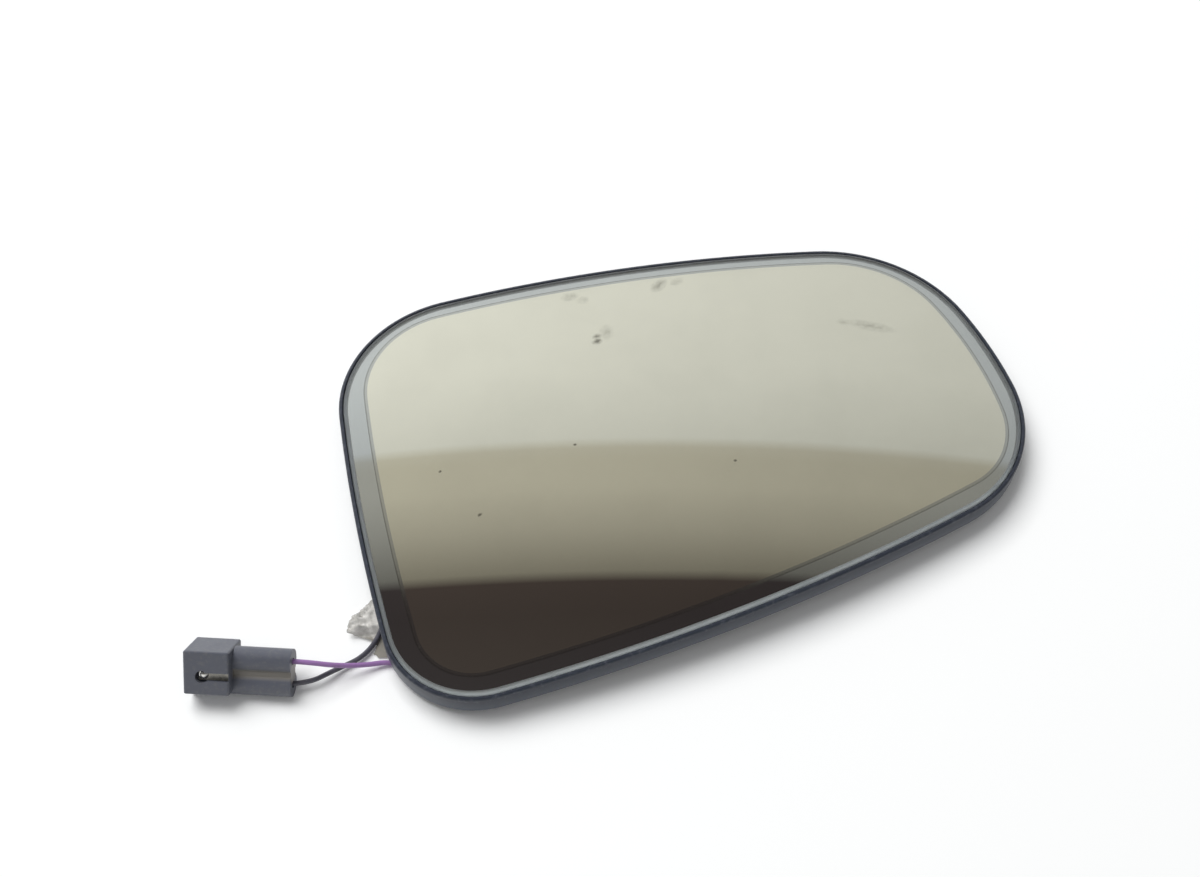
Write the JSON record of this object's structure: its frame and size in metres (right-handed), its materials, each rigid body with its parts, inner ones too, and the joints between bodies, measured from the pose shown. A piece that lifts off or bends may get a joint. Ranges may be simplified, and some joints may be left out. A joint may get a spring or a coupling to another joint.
{
  "type": "car door mirror glass",
  "caption": "Convex auto-dimming, heated door mirror glass in a dark rim, with a snap collar behind it and a short two-wire lead that ends in a small plug.",
  "frame": {"origin": "centre of the adjuster collar's mouth, in the plane on which the mirror rests face up", "axes": "+Z out of the glass along the collar's axis, +X along the mirror to its outer tip, +Y to its upper edge"},
  "size_m": [0.2284, 0.128, 0.0132],
  "materials": {
    "rim_plastic": "fine satin moulding",
    "carrier_plastic": "satin moulding",
    "foam": "closed-cell foam",
    "heater_film": "amber polyimide",
    "tinned_brass": "tinned",
    "mirror_coating": "polished, warm tint",
    "ring_coating": "polished, cool tint",
    "seal": "smooth epoxy",
    "gel": "clear",
    "clear_glass": "polished",
    "tinned_copper": "tinned",
    "plug_plastic": "satin moulding",
    "spring_steel": "tinned",
    "black_sheath": "satin",
    "purple_sheath": "satin",
    "tape_film": "crumpled film"
  },
  "bodies": {
    "root": {"rim_frame": "rim_plastic", "back_plate": "carrier_plastic", "adhesive_foam": "foam", "heater_film": "heater_film", "heater_tab_upper": "tinned_brass", "heater_tab_lower": "tinned_brass", "rear_glass": "mirror_coating", "border_ring": "ring_coating", "seal_bead": "seal", "dimming_gel": "gel", "front_glass": "clear_glass", "bus_clip_inner": "tinned_copper", "bus_clip_lower": "tinned_copper", "plug_housing": "plug_plastic", "plug_spring": "spring_steel", "contact_black": "tinned_brass", "contact_purple": "tinned_brass", "black_wire": "black_sheath", "purple_wire": "purple_sheath", "wire_tape": "tape_film"}
  },
  "joints": []
}
